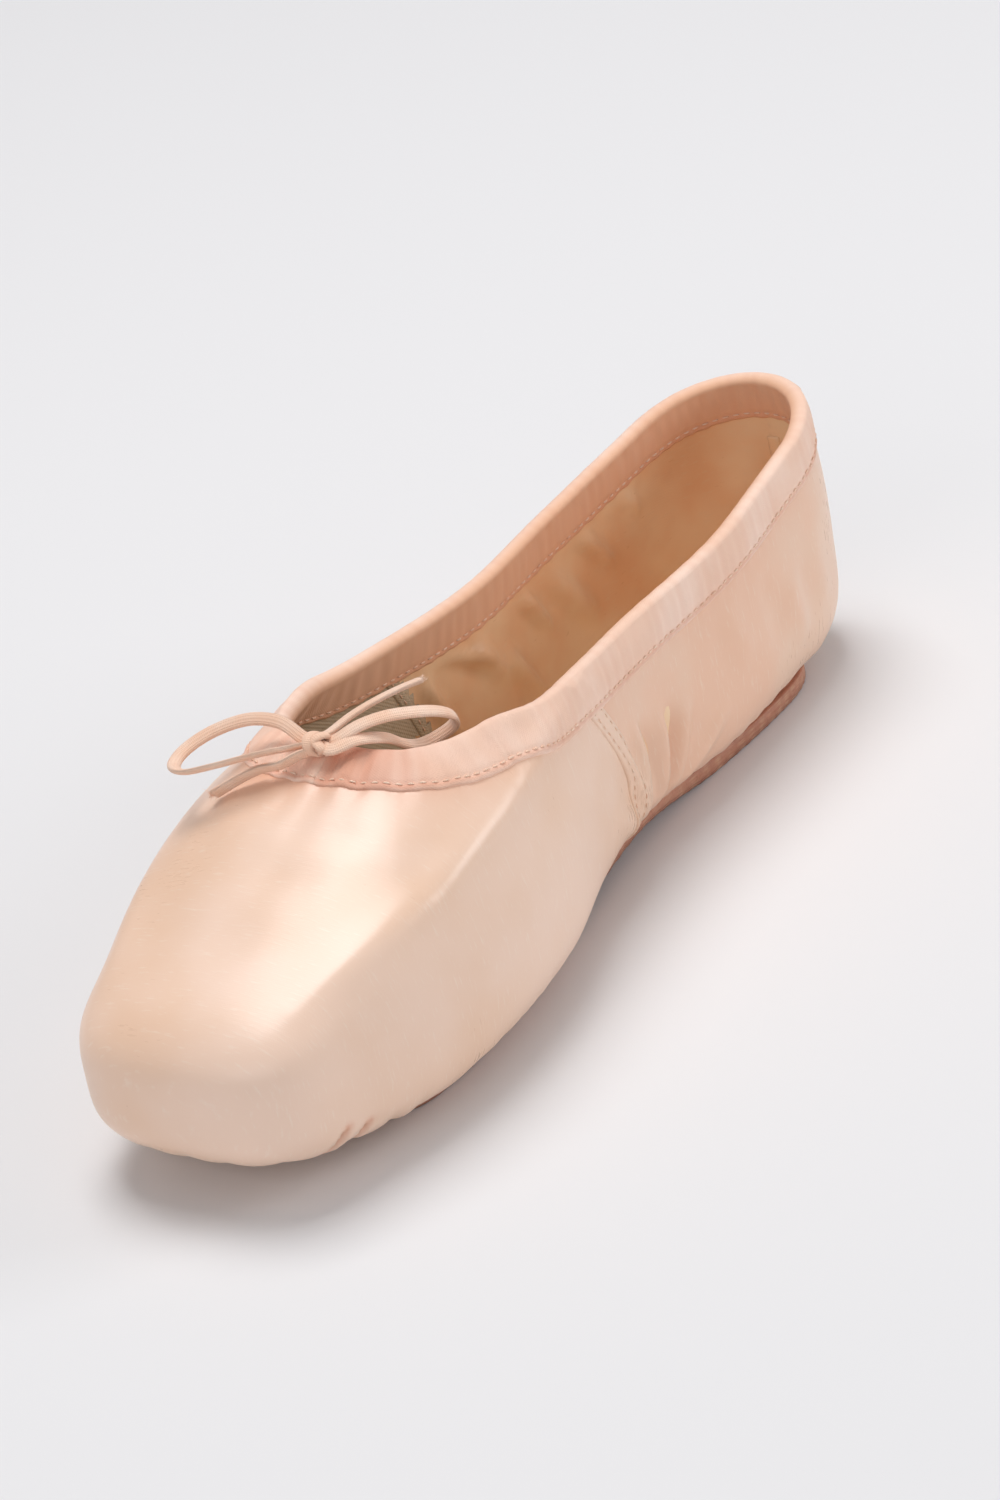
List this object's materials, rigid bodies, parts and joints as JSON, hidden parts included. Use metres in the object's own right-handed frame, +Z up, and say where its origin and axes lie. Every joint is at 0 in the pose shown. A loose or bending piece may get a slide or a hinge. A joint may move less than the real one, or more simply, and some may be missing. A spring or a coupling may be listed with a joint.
{
  "type": "pointe shoe",
  "caption": "Straight-lasted satin pointe shoe with a stiff toe box, leather outsole, bound collar and a drawstring tied in a bow at the throat.",
  "frame": {"origin": "middle of the shoe's length and breadth, on the floor plane that the outsole stands on", "axes": "+Y from the toe to the heel, +X to the wearer's left, +Z up from the floor"},
  "size_m": [0.074, 0.238, 0.0664],
  "materials": {
    "satin": "glossy peach satin over cotton, lined in canvas at the vamp and satin at the quarters",
    "outsole_leather": "smooth pinkish tan leather, darker cut edge",
    "insole_canvas": "matt beige cotton over the board",
    "binding_tape": "pale pink woven tape, puckered inside",
    "drawstring_cotton": "matt flat cotton cord with frayed ends"
  },
  "bodies": {
    "root": {"upper": "satin", "outsole": "outsole_leather", "insole": "insole_canvas", "collar_binding": "binding_tape", "drawstring_knot": "drawstring_cotton", "drawstring_loop_left": "drawstring_cotton", "drawstring_loop_right": "drawstring_cotton", "drawstring_end_left": "drawstring_cotton", "drawstring_end_right": "drawstring_cotton"}
  },
  "joints": []
}
